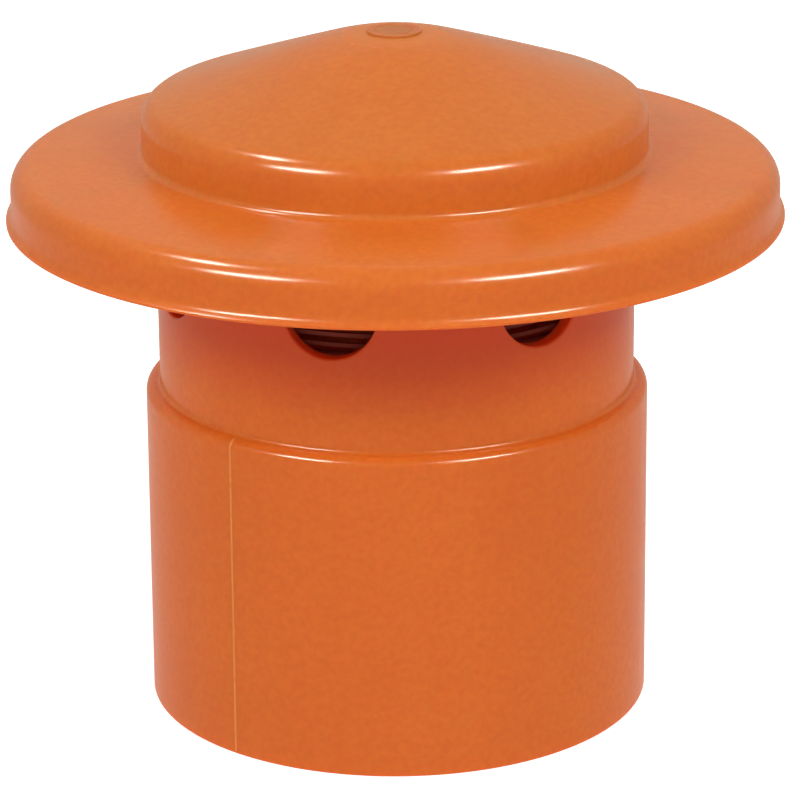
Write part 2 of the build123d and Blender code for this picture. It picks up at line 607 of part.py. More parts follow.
# ---- Cap: dome, band, brim and flared lip, with a collar inside that pushes over the neck ----
with BuildPart() as cap_shell:
    with BuildSketch(Plane.XZ) as cap_profile:
        with BuildLine():
            crown = JernArc((0, CAP_TOP_Z), (1, 0), CROWN_R, -CROWN_DEG)
            flank = TangentArc(crown @ 1, (BAND_R, DOME_EDGE_Z), tangent=crown % 1)
            inner_crown = JernArc((0, CAP_TOP_Z - CAP_WALL), (1, 0), CROWN_R - CAP_WALL, -CROWN_DEG)
            inner_flank = TangentArc(
                inner_crown @ 1, (CAP_BORE_R, DOME_INNER_EDGE_Z), tangent=inner_crown % 1
            )
            wall = Polyline(
                flank @ 1,
                (BAND_R, BRIM_TOP_Z),
                (BRIM_R, BRIM_EDGE_Z),
                (BRIM_R, LIP_LOW_Z + LIP_EDGE + FLARE_HIGH),
            )
            lip_flare = TangentArc(wall @ 1, (LIP_R, LIP_LOW_Z + LIP_EDGE), tangent=wall % 1)
            Polyline(
                lip_flare @ 1,
                (LIP_R, LIP_LOW_Z),
                (BRIM_R - CAP_WALL, LIP_LOW_Z),
                (BRIM_R - CAP_WALL, BRIM_UNDER_Z),
                (BAND_R, BRIM_TOP_Z - CAP_WALL),
                (BAND_R, CAP_COLLAR_LOW_Z),
                (CAP_BORE_R + CAP_LEAD_IN, CAP_COLLAR_LOW_Z),
                (CAP_BORE_R, CAP_COLLAR_LOW_Z + 2 * CAP_LEAD_IN),
                inner_flank @ 1,
            )
            Line(inner_crown @ 0, crown @ 0)
        make_face()
        fillet(corners(cap_profile, (BAND_R, DOME_EDGE_Z)), DOME_EDGE_FILLET)
        fillet(corners(cap_profile, (BAND_R, BRIM_TOP_Z)), BAND_FOOT_FILLET)
        fillet(corners(cap_profile, (BRIM_R, BRIM_EDGE_Z)), BRIM_FILLET)
        fillet(corners(cap_profile, (BRIM_R - CAP_WALL, BRIM_UNDER_Z)), BRIM_FILLET - CAP_WALL)
        fillet(corners(cap_profile, (CAP_BORE_R, DOME_INNER_EDGE_Z)), DOME_EDGE_FILLET - CAP_WALL)
        fillet(corners(cap_profile, (LIP_R, LIP_LOW_Z), (BRIM_R - CAP_WALL, LIP_LOW_Z)), LIP_FOOT_FILLET)
    revolve(axis=Axis.Z)
    with BuildSketch(*[meridian(angle) for angle in rib_angles(BRIM_RIB_COUNT, 180 / BRIM_RIB_COUNT)]):
        with BuildLine():
            Polyline(
                (BAND_R - 0.5, CAP_COLLAR_LOW_Z + 1.0),
                (BRIM_R - CAP_WALL + 0.5, BRIM_UNDER_Z - 4.5),
                (BRIM_R - CAP_WALL + 0.5, BRIM_UNDER_Z - 2.4),
                (BRIM_R - CAP_WALL - 2.0, BRIM_UNDER_Z + 0.5),
                (BAND_R - 0.5, BRIM_TOP_Z - 1.2),
                close=True,
            )
        make_face()
    extrude(amount=BRIM_RIB_THICK / 2, both=True)
    with BuildSketch(*[meridian(angle) for angle in rib_angles(HOLD_RIB_COUNT)]):
        with BuildLine():
            Polyline(
                (HOLD_RIB_INNER_R, HOLD_RIB_LOW_Z),
                (CAP_BORE_R + 0.5, HOLD_RIB_LOW_Z),
                (CAP_BORE_R + 0.5, DOME_INNER_EDGE_Z + 0.7),
                (HOLD_RIB_INNER_R, DOME_INNER_EDGE_Z + 2.5),
                close=True,
            )
        make_face()
    extrude(amount=HOLD_RIB_THICK / 2, both=True)
    with BuildSketch(Plane.XY.offset(CAP_TOP_Z - CAP_WALL / 2)):
        Circle(PAD_R)
    extrude(amount=CAP_WALL / 2 + PAD_HIGH)
    fillet(cap_shell.edges().group_by(Axis.Z)[-1], PAD_HIGH - 0.03)
    with BuildSketch(Plane.XY.offset(CAP_TOP_Z + PAD_HIGH)):
        Circle(PAD_RING_R)
        Circle(PAD_RING_R - PAD_RING_WIDE, mode=Mode.SUBTRACT)
    extrude(amount=-PAD_RING_DEEP, mode=Mode.SUBTRACT)
save(cap_shell, "cap_shell")
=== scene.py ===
"""Automatic air vent in orange PVC: looks, light and camera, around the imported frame. Metres, +Z up."""

import json
from math import asin, atan2, cos, pi, radians, sin, sqrt, tan

import bmesh
import bpy
from mathutils import Matrix, Vector


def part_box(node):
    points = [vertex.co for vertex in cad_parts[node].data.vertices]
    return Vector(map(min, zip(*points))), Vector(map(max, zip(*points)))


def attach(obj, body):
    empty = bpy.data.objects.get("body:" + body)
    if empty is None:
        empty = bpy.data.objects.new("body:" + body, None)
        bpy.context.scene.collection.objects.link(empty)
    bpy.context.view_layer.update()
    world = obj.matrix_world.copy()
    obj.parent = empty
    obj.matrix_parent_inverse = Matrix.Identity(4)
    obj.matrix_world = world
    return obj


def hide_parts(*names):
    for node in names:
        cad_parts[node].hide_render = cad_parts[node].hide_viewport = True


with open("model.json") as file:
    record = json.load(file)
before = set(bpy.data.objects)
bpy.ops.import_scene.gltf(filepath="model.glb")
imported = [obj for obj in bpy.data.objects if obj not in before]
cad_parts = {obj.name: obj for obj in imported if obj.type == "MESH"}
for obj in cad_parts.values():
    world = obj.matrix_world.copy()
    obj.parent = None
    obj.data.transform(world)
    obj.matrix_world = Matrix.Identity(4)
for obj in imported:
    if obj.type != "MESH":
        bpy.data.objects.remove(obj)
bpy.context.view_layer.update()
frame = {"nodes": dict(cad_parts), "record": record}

# ---- Sizes in millimetres, the same as the CAD parts have; the outer heights come from the frame ----
MM = 0.001
cap_low, cap_high = (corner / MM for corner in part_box("cap_shell"))
body_low, body_high = (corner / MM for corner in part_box("socket_body"))
flange_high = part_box("seat_insert")[1] / MM

# Cap: dome, band, brim and lip in one wall, with a collar that goes over the neck
WALL = 2.2
PAD_R, PAD_HIGH, PAD_EDGE = 6.2, 0.15, 0.1
PAD_ROOT = 1.5  # how deep the pad reaches into the dome
PAD_GROOVE = ((3.9, 4.0), (4.5, 4.6))  # radii of the ring groove's two sides, each at its top and bottom
PAD_GROOVE_DEEP, PAD_GROOVE_EDGE, PAD_GROOVE_FILLET = 0.12, 0.06, 0.05
TOP_Z = cap_high.z - PAD_HIGH
CROWN_R, CROWN_SLOPE = 62.0, radians(18)
DOME_EDGE_Z, DOME_INNER_EDGE_Z = 142.0, 140.6
DOME_EDGE_FILLET = 5.2
BAND_R, BAND_FOOT_FILLET = 57.8, 1.6
BRIM_R, BRIM_TOP_Z, BRIM_EDGE_Z = 87.8, 130.6, 128.0
BRIM_UNDER_Z = BRIM_EDGE_Z - WALL + 0.2
BRIM_EDGE_FILLET, BRIM_UNDER_FILLET = 5.0, 0.5
LIP_R, LIP_LOW_Z = 89.0, cap_low.z
LIP_EDGE, LIP_FILLET, FLARE_HIGH = 0.6, 0.25, 2.3
CAP_BORE_R = 55.3
COLLAR_LOW_Z, COLLAR_EDGE = 122.0, 0.3
LEAD_IN_WIDE, LEAD_IN_HIGH = 0.8, 1.6
RIB_ROOT = 0.5  # how deep a rib reaches into a wall
BRIM_RIB_COUNT, BRIM_RIB_THICK = 8, 1.6
BRIM_RIB_FOOT = 1.0  # above the collar's lower edge
BRIM_RIB_END = (4.5, 2.4)  # how far under the brim its outer end starts and stops
BRIM_RIB_SLANT, BRIM_RIB_DROP = 2.0, 1.2
HOLD_RIB_COUNT, HOLD_RIB_THICK = 6, 1.8
HOLD_RIB_DEEP, HOLD_RIB_GAP = 4.8, 0.2  # the gap is above the insert's flange
HOLD_RIB_ENDS = (0.7, 2.5)  # how far above the dome's inner edge it ends, at the wall and inside

# Socket body: socket, shoulder, neck with its inlets, and the floor and collar inside
SOCKET_R, SOCKET_TOP_R, SOCKET_BORE_R = 58.4, 58.2, 55.2
SOCKET_DEPTH = 70.0
MOUTH_EDGE, MOUTH_CHAMFER = 0.35, 1.0
STOP_FILLET, STOP_EDGE = 0.5, 0.4  # the step that the pipe stops against
SHOULDER_Z, SHOULDER_FILLET = 76.0, 2.2
NECK_R, NECK_BORE_R = 55.0, 51.8
NECK_FOOT_FILLET = 0.9
NECK_TOP_Z, NECK_TOP_CHAMFER, NECK_TOP_EDGE = body_high.z, 0.9, 0.2
FLOOR_LOW_Z, FLOOR_TOP_Z, FLOOR_FILLET = 92.6, 96.0, 0.6
RISER_COLLAR_R, RISER_COLLAR_BORE_R = 38.7, 35.7
RISER_COLLAR_LOW_Z, RISER_COLLAR_TOP_Z, RISER_COLLAR_EDGE = 87.0, 99.0, 0.3
GROOVE_R, GROOVE_Z, GROOVE_HALF, GROOVE_EDGE = 53.4, 128.6, 1.2, 0.15
INLET_COUNT = 7
INLET_FIRST = radians(-15.6)  # from the front towards +X
INLET_R, INLET_Z, INLET_EDGE = 10.7, 108.2, 0.5
INLET_BAND = (95.0, 121.5)  # the stretch of the neck's outside that holds the inlets
INLET_BAND_INSIDE = (96.6, 121.0)
PARTING = radians(-39.8)
PARTING_LOW_Z = 0.6
PARTING_HALF, PARTING_HIGH = 0.3, 0.13
PARTING_SUNK, PARTING_ROOT = 0.05, 0.3  # how deep the ridge's sides and its middle reach into the wall

# ---- How finely the surfaces are divided ----
CAP_STEPS, PAD_STEPS = 288, 96
DOME_STEPS, FLARE_STEPS = 16, 6
FILLET_ROOM = 3  # points at the end of the dome's line that the fillet at its edge takes up
SECTOR_STEPS = 44  # across each inlet's share of the neck
INLET_EDGE_STEPS = 5
INLET_GUARD = 0.15  # a ring this far from each end of a hole's wall keeps its shading even
OUTSIDE_SHARES = (1, 0.62, 0.32, 0.13, 0.04, 0)  # rings from a sector's border, 1, to the hole's rim, 0
INSIDE_SHARES = (0, 0.05, 0.4, 1)
PARTING_STEPS, SHOULDER_STEPS = 8, 6

# ---- Colours and their layers; shades are factors on the orange's red, green and blue ----
ORANGE = (0.72, 0.190, 0.024)
CLOUD_DARK, CLOUD_PALE = (0.97, 0.93, 0.9), (1.03, 1.07, 1.1)
FLOW_SHADE = (1.04, 1.16, 1.25)
SPECK_SHADE = (0.75, 0.6, 0.6)
GRAIN_SHADE = (0.9, 0.8, 0.9)
PATCH_SHADE = (1.06, 1.15, 1.6)
MARK_SHADE = (1.0, 0.62, 1.2)
# painted shade: the neck's redder tint where the brim shades it
NECK_PAINTED_SHADE = (1.12, 0.52, 1.7)
# the parting ridge's paler colour: partly its flash, partly a painted highlight for the light line the ridge
# catches
FLASH_AND_SHEEN_SHADE = (1.1, 1.5, 2.4)
PVC_ROUGHNESS, FLASH_ROUGHNESS = 0.2, 0.3
PATCH_EDGE = (0.0112, 0.0128)  # radii in metres between which the matte patch round the pad ends
MARK_EDGE = (0.0060, 0.0064)
PAINTED_SHADE_HEIGHTS = (0.084, 0.102)  # heights in metres between which the neck turns redder: painted shade under the brim
MIDDLE = (0.3, 0.7)  # the range that most of a noise texture's values are in

# ---- Stage, lamps and camera ----
FLOOR_HALF = 60
FLOOR_COLOUR, FLOOR_DARK, FLOOR_PALE = (0.9, 0.9, 0.9), (0.89, 0.89, 0.89), (0.91, 0.91, 0.91)
FLOOR_ROUGHNESS = 0.9
FLOOR_GLOW, FLOOR_GLOW_STRENGTH = (0.84, 0.92, 1.0, 1), 0.62
LAMP_DISTANCE = 1.5
LAMP_AIM = (0, 0, 0.09)
WARM = (1.0, 0.93, 0.80)
LAMPS = (  # name, azimuth and elevation in degrees, width and height in metres, watts, makes highlights
    ("strip_left", -46, 35, 0.56, 0.20, 21, True),
    ("strip_left_high", -97, 60, 0.28, 0.15, 9, True),
    ("strip_right", 41, 37, 0.60, 0.20, 23, True),
    ("fill_left", -48, 36, 0.8, 0.42, 7.8, False),
    ("fill_right", 46, 36, 0.8, 0.42, 7.8, False),
    ("fill_back", 180, 34, 1.6, 0.9, 8, False),
)
ROOM_FADE = (-0.75, -0.10)  # how far up a direction points, between which the room's glow changes
ROOM_BELOW, ROOM_ABOVE = (1.32, 0.66, 0.56, 1), (0.50, 0.43, 0.36, 1)
CAMERA_LENS, CAMERA_SENSOR = 180.4, 36
CAMERA_REACH = 200
CAMERA_AIM = (0.0007, 0, 0.0695)
CAMERA_DISTANCE = 0.935
CAMERA_ELEVATION, CAMERA_ROLL = radians(19.3), radians(-0.45)


# ---- Outlines: lists of (radius, height) in millimetres ----
def arc(centre, radius, start, end, steps):
    """Points on an arc, with angles in radians from the horizontal."""
    angles = [start + (end - start) * i / steps for i in range(steps + 1)]
    return [(centre[0] + radius * cos(angle), centre[1] + radius * sin(angle)) for angle in angles]


def rounded(outline, steps, guard):
    """An open outline of (radius, height) or (radius, height, fillet), with those corners turned into arcs.

    A guard point just outside each arc keeps the shading of the flat stretches even."""
    points = [outline[0][:2]]
    for before, corner, after in zip(outline, outline[1:], outline[2:]):
        here = Vector(corner[:2])
        if len(corner) < 3:
            points.append(corner)
            continue
        back = (Vector(before[:2]) - here).normalized()
        ahead = (Vector(after[:2]) - here).normalized()
        half = back.angle(ahead) / 2
        reach = corner[2] / tan(half)
        centre = here + (back + ahead).normalized() * corner[2] / sin(half)
        first, last = here + back * reach - centre, here + ahead * reach - centre
        turn = first.angle_signed(last)
        points.append(tuple(here + back * (reach + guard)))
        for i in range(steps + 1):
            points.append(tuple(centre + Matrix.Rotation(-turn * i / steps, 2) @ first))
        points.append(tuple(here + ahead * (reach + guard)))
    points.append(outline[-1][:2])
    return points


def tangent_arc(start, slope, end, steps):
    """Points after start on the arc that leaves it at that slope (radians) and reaches end."""
    run, rise = end[0] - start[0], end[1] - start[1]
    turn = 2 * (atan2(rise, run) - slope)
    bend = sqrt(run * run + rise * rise) / 2 / sin(turn / 2)  # signed radius
    return [
        (
            start[0] + bend * (sin(slope + turn * i / steps) - sin(slope)),
            start[1] - bend * (cos(slope + turn * i / steps) - cos(slope)),
        )
        for i in range(1, steps + 1)
    ]


def dome_line(inset, edge):
    """The dome from its top outwards: a round crown, and a nearly straight flank out to its edge."""
    crown = arc((0.0, TOP_Z - CROWN_R), CROWN_R - inset, pi / 2, pi / 2 - CROWN_SLOPE, DOME_STEPS)
    return crown + tangent_arc(crown[-1], -CROWN_SLOPE, edge, DOME_STEPS)


# ---- Mesh building ----
def around(angle, radius, height):
    """A point at an angle from the front (-Y) towards +X, in metres from millimetres."""
    return Vector((radius * sin(angle) * MM, -radius * cos(angle) * MM, height * MM))


def turn_angles(count, start=0.0):
    return [start + 2 * pi * i / count for i in range(count)]


def grid(bm, rows):
    """Faces between rows of points, each row a closed ring of as many points."""
    rings = [[bm.verts.new(point) for point in row] for row in rows]
    count = len(rings[0])
    for lower, upper in zip(rings, rings[1:]):
        for i in range(count):
            j = (i + 1) % count
            bm.faces.new([lower[i], lower[j], upper[j], upper[i]])


def lathe(bm, outline, angles):
    """Turns an outline about the axis. Points on the axis are joined when the piece is finished."""
    grid(bm, [[around(angle, radius, height) for angle in angles] for radius, height in outline])


def plate(bm, angle, outline, thickness):
    """A flat closed rib in the half plane at that angle, with its outline of (radius, height) points."""
    across = Vector((cos(angle), sin(angle), 0)) * thickness * MM / 2
    sides = [[bm.verts.new(around(angle, r, z) + side * across) for r, z in outline] for side in (-1, 1)]
    bm.faces.new(sides[0])
    bm.faces.new(list(reversed(sides[1])))
    for i in range(len(outline)):
        j = (i + 1) % len(outline)
        bm.faces.new([sides[0][j], sides[0][i], sides[1][i], sides[1][j]])


def piece(name, bm, body, material, replaced=(), crease_deg=32):
    """Finishes a mesh: joined edges, outward normals, smooth shading, and its place in the frame."""
    bmesh.ops.remove_doubles(bm, verts=bm.verts, dist=1e-6)
    bmesh.ops.recalc_face_normals(bm, faces=bm.faces)
    mesh = bpy.data.meshes.new(name)
    bm.to_mesh(mesh)
    bm.free()
    mesh.shade_smooth()
    mesh.set_sharp_from_angle(angle=radians(crease_deg))
    mesh.materials.append(material)
    obj = bpy.data.objects.new(name, mesh)
    bpy.context.scene.collection.objects.link(obj)
    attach(obj, body)
    if replaced:
        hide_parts(*replaced)


# ---- Materials ----
class Paint:
    """A Principled material that is built up node by node; sockets are its inputs by name, _ for a space."""

    def __init__(self, name, colour, roughness, **sockets):
        self.material = bpy.data.materials.new(name)
        self.material.use_nodes = True
        self.nodes = self.material.node_tree.nodes
        self.links = self.material.node_tree.links
        self.shader = self.nodes["Principled BSDF"]
        self.shader.inputs["Base Color"].default_value = (*colour, 1)
        self.shader.inputs["Roughness"].default_value = roughness
        for socket, value in sockets.items():
            self.shader.inputs[socket.replace("_", " ")].default_value = value
        self.place = self.nodes.new("ShaderNodeTexCoord").outputs["Object"]
        self.normal = None

    def math(self, operation, first, second=0.0):
        node = self.nodes.new("ShaderNodeMath")
        node.operation = operation
        for socket, value in zip(node.inputs, (first, second)):
            if isinstance(value, (int, float)):
                socket.default_value = value
            else:
                self.links.new(value, socket)
        return node.outputs[0]

    def noise(self, scale, detail, stretch=(1, 1, 1), place=None):
        """Noise with that many features per metre, stretched along the axes."""
        mapping = self.nodes.new("ShaderNodeMapping")
        mapping.inputs["Scale"].default_value = stretch
        texture = self.nodes.new("ShaderNodeTexNoise")
        texture.inputs["Scale"].default_value = scale
        texture.inputs["Detail"].default_value = detail
        self.links.new(place or self.place, mapping.inputs["Vector"])
        self.links.new(mapping.outputs["Vector"], texture.inputs["Vector"])
        return texture.outputs["Fac"]

    def join(self, x, y, z=None):
        node = self.nodes.new("ShaderNodeCombineXYZ")
        for socket, value in zip(node.inputs, (x, y, z)):
            if value is not None:
                self.links.new(value, socket)
        return node.outputs[0]

    def polar(self):
        """Three sockets: (unit direction from the axis, radius), the radius and the height, in metres.

        Noise that is placed by the first one has marks that run out from the axis."""
        split = self.nodes.new("ShaderNodeSeparateXYZ")
        self.links.new(self.place, split.inputs[0])
        x, y, height = split.outputs
        radius = self.math("SQRT", self.math("ADD", self.math("MULTIPLY", x, x), self.math("MULTIPLY", y, y)))
        safe = self.math("MAXIMUM", radius, 0.0005)
        direction = self.join(self.math("DIVIDE", x, safe), self.math("DIVIDE", y, safe), radius)
        return direction, radius, height

    def ramp(self, factor, limits, dark, light):
        """A colour that goes from dark to light as the factor goes from one limit to the other."""
        node = self.nodes.new("ShaderNodeValToRGB")
        for element, limit, colour in zip(node.color_ramp.elements, limits, (dark, light)):
            element.position = limit
            element.color = (*colour, 1)
        self.links.new(factor, node.inputs["Fac"])
        return node.outputs["Color"]

    def spread(self, factor, limits, to_low, to_high):
        """A number that goes from to_low to to_high as the factor goes from one limit to the other."""
        node = self.nodes.new("ShaderNodeMapRange")
        for socket, value in zip(("From Min", "From Max", "To Min", "To Max"), (*limits, to_low, to_high)):
            node.inputs[socket].default_value = value
        self.links.new(factor, node.inputs["Value"])
        return node.outputs["Result"]

    def blend(self, factor, first, second):
        node = self.nodes.new("ShaderNodeMix")
        node.data_type = "RGBA"
        self.links.new(factor, node.inputs["Factor"])
        for socket, value in ((node.inputs[6], first), (node.inputs[7], second)):
            if isinstance(value, tuple):
                socket.default_value = (*value, 1)
            else:
                self.links.new(value, socket)
        return node.outputs[2]

    def colour(self, socket):
        self.links.new(socket, self.shader.inputs["Base Color"])

    def roughness(self, socket):
        self.links.new(socket, self.shader.inputs["Roughness"])

    def bump(self, height, depth):
        """Adds a layer of bump, with its depth in millimetres."""
        node = self.nodes.new("ShaderNodeBump")
        node.inputs["Distance"].default_value = depth * MM
        self.links.new(height, node.inputs["Height"])
        if self.normal:
            self.links.new(self.normal, node.inputs["Normal"])
        self.normal = node.outputs["Normal"]
        self.links.new(self.normal, self.shader.inputs["Normal"])


def scaled(colour, *factors):
    """A colour times one factor, or times three: red, green and blue."""
    factors = factors if len(factors) == 3 else factors * 3
    return tuple(channel * factor for channel, factor in zip(colour, factors))


def moulded(name, colour, roughness):
    """Plain moulded plastic: faint mottling, uneven gloss and a slight orange peel."""
    paint = Paint(name, colour, roughness)
    paint.colour(paint.ramp(paint.noise(60, 5), MIDDLE, scaled(colour, 0.95), scaled(colour, 1.05)))
    paint.roughness(paint.spread(paint.noise(130, 3), MIDDLE, roughness - 0.04, roughness + 0.05))
    paint.bump(paint.noise(380, 2), 0.01)
    return paint.material


def orange_pvc(name, matte_patch=False, painted_neck_shade=False):
    """Glossy orange PVC: cloudy pigment, flow marks that run out from the gate, orange peel and fine dust."""
    paint = Paint(
        name, ORANGE, PVC_ROUGHNESS, IOR=1.53, Specular_IOR_Level=0.36, Subsurface_Weight=0.4,
        Subsurface_Radius=(1.0, 0.22, 0.06), Subsurface_Scale=0.006,
    )
    polar, radius, height = paint.polar()
    tint = paint.ramp(paint.noise(26, 4), MIDDLE, scaled(ORANGE, *CLOUD_DARK), scaled(ORANGE, *CLOUD_PALE))
    flow = paint.noise(9, 6, (1, 1, 4), polar)
    tint = paint.blend(paint.spread(flow, (0.42, 0.66), 0.0, 0.22), tint, scaled(ORANGE, *FLOW_SHADE))
    speck = paint.spread(paint.noise(1500, 2), (0.70, 0.76), 0.0, 0.35)
    tint = paint.blend(speck, tint, scaled(ORANGE, *SPECK_SHADE))
    grain = paint.spread(paint.noise(620, 3), (0.35, 0.65), 0.0, 0.5)
    tint = paint.blend(grain, tint, scaled(ORANGE, *GRAIN_SHADE))
    gloss = paint.spread(paint.noise(85, 5), MIDDLE, PVC_ROUGHNESS - 0.035, PVC_ROUGHNESS + 0.05)
    if matte_patch:  # the dull ring round the pad, and the pad's own reddish shade
        edge = paint.math("ADD", radius, paint.spread(paint.noise(300, 3), MIDDLE, -0.0006, 0.0006))
        patch = paint.spread(edge, PATCH_EDGE, 1.0, 0.0)
        tint = paint.blend(paint.math("MULTIPLY", patch, 0.3), tint, scaled(ORANGE, *PATCH_SHADE))
        mark = paint.math("MULTIPLY", paint.spread(radius, MARK_EDGE, 1.0, 0.0), paint.noise(420, 4))
        tint = paint.blend(mark, tint, scaled(ORANGE, *MARK_SHADE))
        gloss = paint.math("ADD", gloss, paint.math("MULTIPLY", patch, 0.16))
        paint.bump(paint.math("MULTIPLY", paint.noise(1400, 3), patch), 0.04)
    if painted_neck_shade:  # painted shade: the neck is tinted redder where the brim shades it
        neck = paint.spread(height, PAINTED_SHADE_HEIGHTS, 0.0, 0.6)
        tint = paint.blend(neck, tint, scaled(ORANGE, *NECK_PAINTED_SHADE))
    paint.colour(tint)
    paint.roughness(gloss)
    paint.bump(paint.noise(46, 2), 0.12)
    paint.bump(flow, 0.03)
    paint.bump(paint.noise(700, 3), 0.006)
    return paint.material


def turned_steel(name, colour, roughness):
    """Bright steel with the fine rings that turning and rolling leave."""
    paint = Paint(name, colour, roughness, Metallic=1.0)
    _, radius, height = paint.polar()
    marks = paint.noise(2600, 3, place=paint.join(radius, height))
    paint.colour(paint.ramp(paint.noise(220, 4), MIDDLE, scaled(colour, 0.9), scaled(colour, 1.06)))
    paint.roughness(paint.spread(marks, MIDDLE, roughness - 0.07, roughness + 0.1))
    paint.bump(marks, 0.008)
    return paint.material


def rubber(name, colour, roughness):
    """Black rubber: a dull skin with a pale bloom in patches, and a fine grain."""
    paint = Paint(name, colour, roughness)
    bloom = paint.noise(90, 6)
    paint.colour(paint.ramp(bloom, (0.35, 0.72), colour, scaled(colour, 2.1)))
    paint.roughness(paint.spread(bloom, MIDDLE, roughness - 0.08, roughness + 0.1))
    paint.bump(paint.noise(1600, 3), 0.03)
    return paint.material


materials = {
    "orange_pvc": orange_pvc("orange_pvc"),
    "insert_abs": moulded("insert_abs", (0.40, 0.075, 0.025), 0.38),
    "guide_acetal": moulded("guide_acetal", (0.72, 0.70, 0.62), 0.4),
    "bush_nylon": moulded("bush_nylon", (0.62, 0.60, 0.50), 0.45),
    "screen_plastic": moulded("screen_plastic", (0.17, 0.042, 0.032), 0.8),
    "valve_plastic": moulded("valve_plastic", (0.78, 0.78, 0.75), 0.35),
    "seal_rubber": rubber("seal_rubber", (0.014, 0.014, 0.014), 0.6),
    "diaphragm_rubber": rubber("diaphragm_rubber", (0.018, 0.018, 0.02), 0.52),
    "stainless_steel": turned_steel("stainless_steel", (0.60, 0.60, 0.59), 0.24),
    "spring_steel": turned_steel("spring_steel", (0.24, 0.23, 0.24), 0.32),
}
for entry in frame["record"]["subparts"]:
    node = frame["nodes"][entry["node"]]
    node.data.materials.clear()
    node.data.materials.append(materials[entry["material_slot"]])


# ---- Cap ----
def cap_outline():
    """Down the outside from the top, round the lip, and up the inside again."""
    outside = dome_line(0, (BAND_R, DOME_EDGE_Z))
    inside = dome_line(WALL, (CAP_BORE_R, DOME_INNER_EDGE_Z))
    lip_top = (LIP_R, LIP_LOW_Z + LIP_EDGE)
    flare_top = (BRIM_R, LIP_LOW_Z + LIP_EDGE + FLARE_HIGH)
    corners = [
        outside[-FILLET_ROOM],
        (BAND_R, DOME_EDGE_Z, DOME_EDGE_FILLET),
        (BAND_R, BRIM_TOP_Z, BAND_FOOT_FILLET),
        (BRIM_R, BRIM_EDGE_Z, BRIM_EDGE_FILLET),
        flare_top,
        *tangent_arc(flare_top, -pi / 2, lip_top, FLARE_STEPS),
        (LIP_R, LIP_LOW_Z, LIP_FILLET),
        (BRIM_R - WALL, LIP_LOW_Z, LIP_FILLET),
        (BRIM_R - WALL, BRIM_UNDER_Z, BRIM_EDGE_FILLET - WALL),
        (BAND_R, BRIM_TOP_Z - WALL, BRIM_UNDER_FILLET),
        (BAND_R, COLLAR_LOW_Z, COLLAR_EDGE),
        (CAP_BORE_R + LEAD_IN_WIDE, COLLAR_LOW_Z),
        (CAP_BORE_R, COLLAR_LOW_Z + LEAD_IN_HIGH),
        (CAP_BORE_R, DOME_INNER_EDGE_Z, DOME_EDGE_FILLET - WALL),
        inside[-FILLET_ROOM],
    ]
    wall = rounded(corners, steps=9, guard=0.12)
    return outside[:-FILLET_ROOM] + wall + list(reversed(inside[:-FILLET_ROOM]))


def pad_outline():
    """The flat round pad on top, with a fine ring groove."""
    top_z, root_z = TOP_Z + PAD_HIGH, TOP_Z - PAD_ROOT
    groove_z = top_z - PAD_GROOVE_DEEP
    (inner_top, inner_bottom), (outer_bottom, outer_top) = PAD_GROOVE
    corners = [
        (0, top_z),
        (inner_top, top_z, PAD_GROOVE_EDGE),
        (inner_bottom, groove_z, PAD_GROOVE_FILLET),
        (outer_bottom, groove_z, PAD_GROOVE_FILLET),
        (outer_top, top_z, PAD_GROOVE_EDGE),
        (PAD_R, top_z, PAD_EDGE),
        (PAD_R, root_z),
        (0, root_z),
    ]
    return rounded(corners, steps=4, guard=0.03)


def build_cap():
    bm = bmesh.new()
    lathe(bm, cap_outline(), turn_angles(CAP_STEPS))
    skirt_r = BRIM_R - WALL + RIB_ROOT
    brim_rib = [
        (BAND_R - RIB_ROOT, COLLAR_LOW_Z + BRIM_RIB_FOOT),
        (skirt_r, BRIM_UNDER_Z - BRIM_RIB_END[0]),
        (skirt_r, BRIM_UNDER_Z - BRIM_RIB_END[1]),
        (BRIM_R - WALL - BRIM_RIB_SLANT, BRIM_UNDER_Z + RIB_ROOT),
        (BAND_R - RIB_ROOT, BRIM_TOP_Z - BRIM_RIB_DROP),
    ]
    for angle in turn_angles(BRIM_RIB_COUNT, pi / BRIM_RIB_COUNT):
        plate(bm, angle, brim_rib, BRIM_RIB_THICK)
    hold_rib = [
        (CAP_BORE_R - HOLD_RIB_DEEP, flange_high.z + HOLD_RIB_GAP),
        (CAP_BORE_R + RIB_ROOT, flange_high.z + HOLD_RIB_GAP),
        (CAP_BORE_R + RIB_ROOT, DOME_INNER_EDGE_Z + HOLD_RIB_ENDS[0]),
        (CAP_BORE_R - HOLD_RIB_DEEP, DOME_INNER_EDGE_Z + HOLD_RIB_ENDS[1]),
    ]
    for angle in turn_angles(HOLD_RIB_COUNT):
        plate(bm, angle, hold_rib, HOLD_RIB_THICK)
    lathe(bm, pad_outline(), turn_angles(PAD_STEPS))
    plastic = orange_pvc("orange_pvc_cap", matte_patch=True)
    piece("cap_moulding", bm, "cap", plastic, ["cap_shell"])


